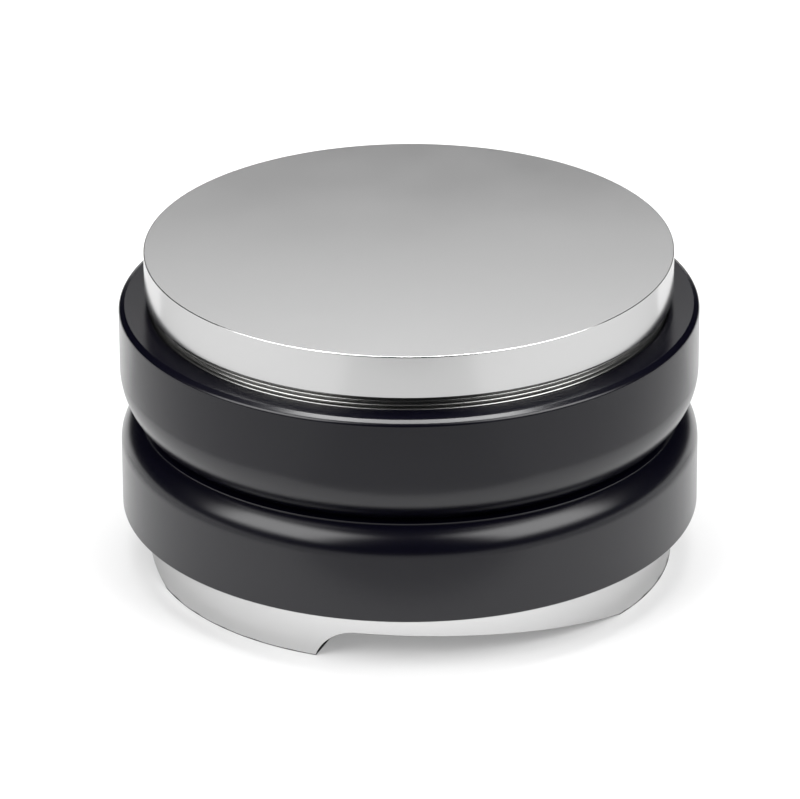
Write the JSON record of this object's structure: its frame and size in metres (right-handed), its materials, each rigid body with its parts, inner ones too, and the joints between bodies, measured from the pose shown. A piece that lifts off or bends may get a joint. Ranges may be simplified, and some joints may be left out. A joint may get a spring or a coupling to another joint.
{
  "type": "espresso tamper and distributor",
  "caption": "Double-ended palm tool: flat steel tamper above, three-blade coffee distributor below, each screwed into a black two-collar grip with a waist.",
  "frame": {"origin": "on the turning axis, in the plane of the blade lands that the tool stands on", "axes": "+Z along the turning axis, from the distributor towards the tamper face; +X towards the right when one blade step faces the viewer's left front"},
  "size_m": [0.064, 0.064, 0.0364],
  "materials": {
    "tamper_steel": "fine satin face, polished rim",
    "distributor_steel": "fine bead-blasted satin",
    "turned_steel": "bright turned",
    "screw_steel": "plain stainless",
    "black_anodised": "black anodised over fine blasting",
    "ring_rubber": "matt black nitrile"
  },
  "bodies": {
    "grip": {"upper_collar": "black_anodised", "lower_collar": "black_anodised", "steel_core": "turned_steel", "upper_collar_screws": "screw_steel", "lower_collar_screws": "screw_steel"},
    "tamper_ring": {"tamper_friction_ring": "ring_rubber"},
    "tamper": {"tamper_disc": "tamper_steel", "tamper_carrier": "turned_steel", "tamper_carrier_screws": "screw_steel"},
    "distributor_ring": {"distributor_friction_ring": "ring_rubber"},
    "distributor": {"distributor_disc": "distributor_steel", "distributor_carrier": "turned_steel", "distributor_carrier_screws": "screw_steel"}
  },
  "joints": [
    {"name": "tamper_depth", "type": "slide", "parent": "grip", "child": "tamper_ring", "axis": [0, 0, 1], "range_m": [-0.00125, 0.0025]},
    {"name": "tamper_turn", "type": "hinge", "parent": "tamper_ring", "child": "tamper", "pos_m": [0, 0, 0.03], "axis": [0, 0, 1], "range_deg": [-900, 1800]},
    {"name": "distributor_turn", "type": "hinge", "parent": "distributor", "child": "distributor_ring", "pos_m": [0, 0, 0.006], "axis": [0, 0, 1], "range_deg": [-720, 1800]},
    {"name": "distributor_depth", "type": "slide", "parent": "distributor_ring", "child": "grip", "axis": [0, 0, 1], "range_m": [-0.001, 0.0025]}
  ],
  "couplings": [
    {"joint": "tamper_depth", "follows": "tamper_turn", "m_per_rad": 0.00007957},
    {"joint": "distributor_depth", "follows": "distributor_turn", "m_per_rad": 0.00007957}
  ]
}
